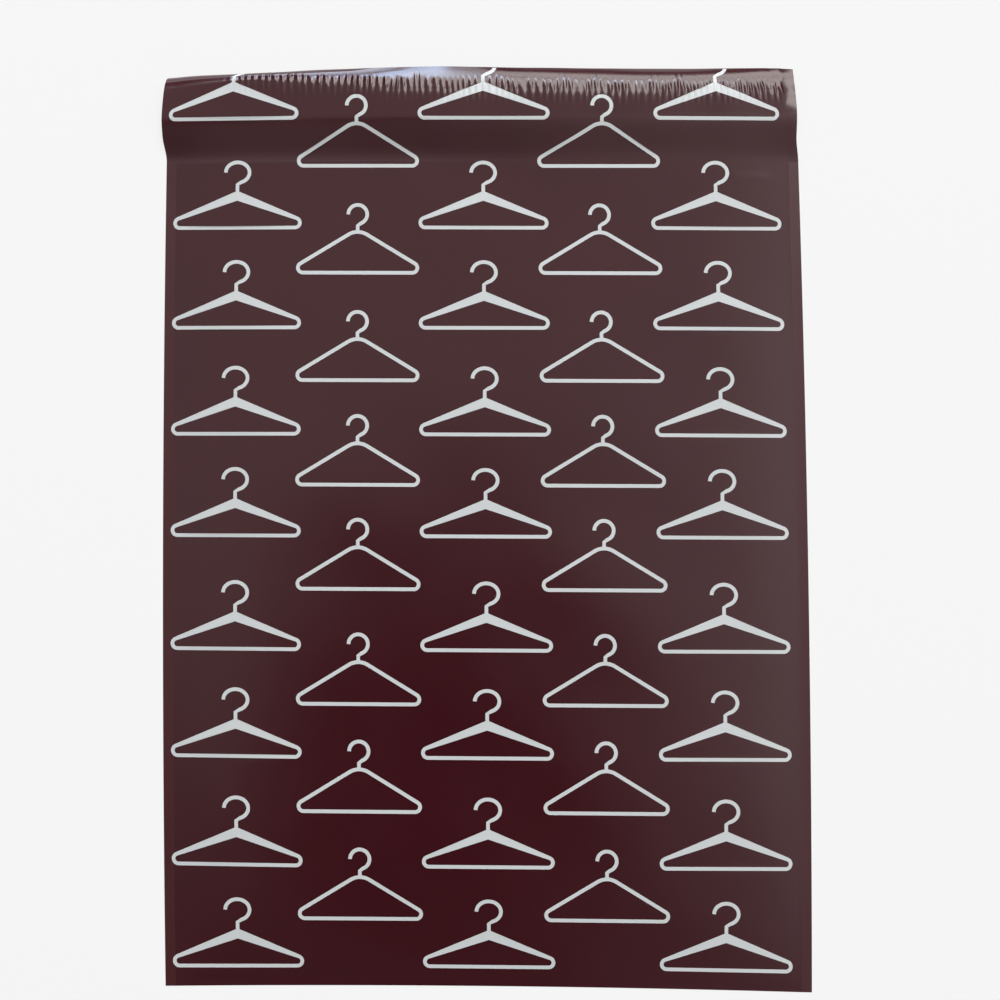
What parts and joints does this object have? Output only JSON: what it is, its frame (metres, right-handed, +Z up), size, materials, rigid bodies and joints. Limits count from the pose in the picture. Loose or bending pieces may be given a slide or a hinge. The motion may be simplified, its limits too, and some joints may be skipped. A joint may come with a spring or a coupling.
{
  "type": "poly mailer bag",
  "caption": "Flat self-seal poly mailer bag of printed film: a side-welded pocket lying empty, its flap open and arched over a hidden adhesive strip and release liner.",
  "frame": {"origin": "middle of the bag's footprint, on the table that it lies on", "axes": "+X across the bag to the right, +Y from the bottom fold to the flap, +Z up through the printed face"},
  "size_m": [0.254, 0.3638, 0.0068],
  "materials": {
    "printed_film": "semi-gloss maroon polyethylene film, printed with white ink, seams and gathers showing",
    "adhesive": "clear, slightly yellow hot-melt adhesive, glossy",
    "liner": "translucent siliconised film"
  },
  "bodies": {
    "root": {"mailer_film": "printed_film", "adhesive_strip": "adhesive", "release_liner": "liner"}
  },
  "joints": []
}
